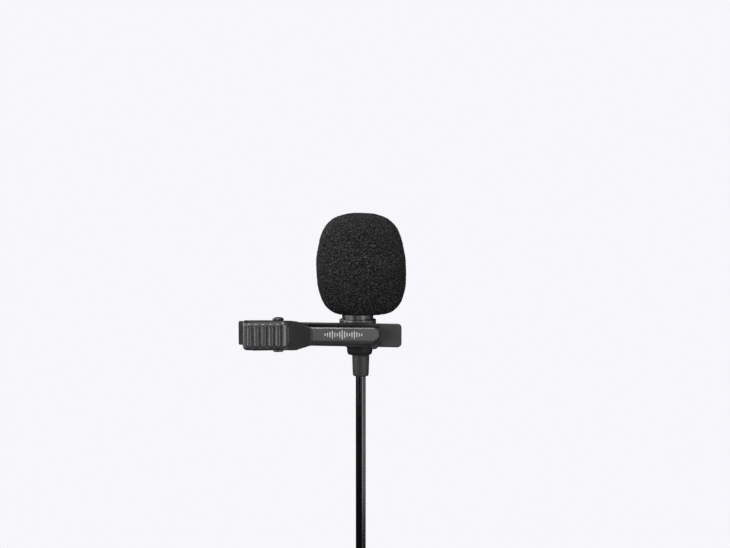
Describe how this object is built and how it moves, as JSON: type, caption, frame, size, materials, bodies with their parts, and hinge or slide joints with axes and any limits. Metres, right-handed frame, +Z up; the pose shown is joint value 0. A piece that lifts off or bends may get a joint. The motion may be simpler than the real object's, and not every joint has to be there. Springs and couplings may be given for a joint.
{
  "type": "lavalier microphone",
  "caption": "Clip-on lapel microphone: foam windscreen over a slim capsule tube, held by a ring on a sprung jaw clip, with a hanging cable and jack plug.",
  "frame": {"origin": "middle of the closed grip, on the plane where the two jaw pads meet and hold the garment", "axes": "+X along the clip towards the jaw tips, -Y out of the front jaw and its nameplate, +Z up along the microphone tube towards the windscreen"},
  "size_m": [0.0715, 0.0362, 0.2219],
  "materials": {
    "foam": "open-cell polyurethane foam, matt black",
    "clip_grey": "satin dark grey",
    "plate_grey": "satin mid grey",
    "pad_rubber": "matt black",
    "tube_metal": "glossy black coating",
    "grille_metal": "dark satin",
    "ring_metal": "dark satin coating",
    "boss_plastic": "satin black",
    "relief_rubber": "satin dark grey",
    "cable_pvc": "semi-gloss black jacket",
    "strap": "woven black",
    "spring_steel": "bright drawn wire",
    "pin_metal": "dark satin",
    "cloth": "fine black weave",
    "boot_rubber": "moulded",
    "capsule_can": "bright can",
    "board": "green laminate",
    "wire_red": "red insulation",
    "wire_copper": "bare tinned copper",
    "crimp_brass": "bright",
    "shell_black": "satin black",
    "plug_gold": "gold plated",
    "insulator": "black"
  },
  "bodies": {
    "clip": {"rear_jaw": "clip_grey", "rear_jaw_pad": "pad_rubber", "mic_ring": "ring_metal", "hinge_pin": "pin_metal", "pin_retainer": "pin_metal", "torsion_spring": "spring_steel"},
    "front_jaw": {"front_jaw": "clip_grey", "front_jaw_pad": "clip_grey", "nameplate": "plate_grey"},
    "windscreen": {"windscreen": "foam"},
    "microphone": {"grille_cap": "grille_metal", "grille_cloth": "cloth", "capsule_boot": "boot_rubber", "electret_capsule": "capsule_can", "capsule_felt": "cloth", "capsule_board": "board", "signal_wire": "wire_red", "shield_wire": "wire_copper", "housing_tube": "tube_metal", "collar_ring": "tube_metal", "tail_cap": "boss_plastic", "cable_crimp": "crimp_brass", "cable_stub": "cable_pvc", "strain_relief": "relief_rubber", "cable_lead": "cable_pvc", "cable_coil": "cable_pvc", "cable_tie": "strap", "cable_tail": "cable_pvc", "plug_boot": "boot_rubber", "plug_shell": "shell_black", "plug_sleeve": "plug_gold", "plug_insulator_1": "insulator", "plug_ring_2": "plug_gold", "plug_insulator_2": "insulator", "plug_ring_1": "plug_gold", "plug_insulator_3": "insulator", "plug_tip": "plug_gold"}
  },
  "joints": [
    {"name": "jaw_hinge", "type": "hinge", "parent": "clip", "child": "front_jaw", "pos_m": [-0.0296, -0.0033, 0], "axis": [0, 0, -1], "range_deg": [0, 30], "stiffness_Nm_per_rad": 0.06, "springref_deg": -11.46, "deforming": ["torsion_spring"]},
    {"name": "mic_swivel", "type": "hinge", "parent": "clip", "child": "microphone", "pos_m": [-0.0045, 0.0096, 0], "axis": [0, 0, 1], "continuous": true},
    {"name": "windscreen_pull", "type": "slide", "parent": "microphone", "child": "windscreen", "axis": [0, 0, 1], "range_m": [0, 0.036]}
  ]
}
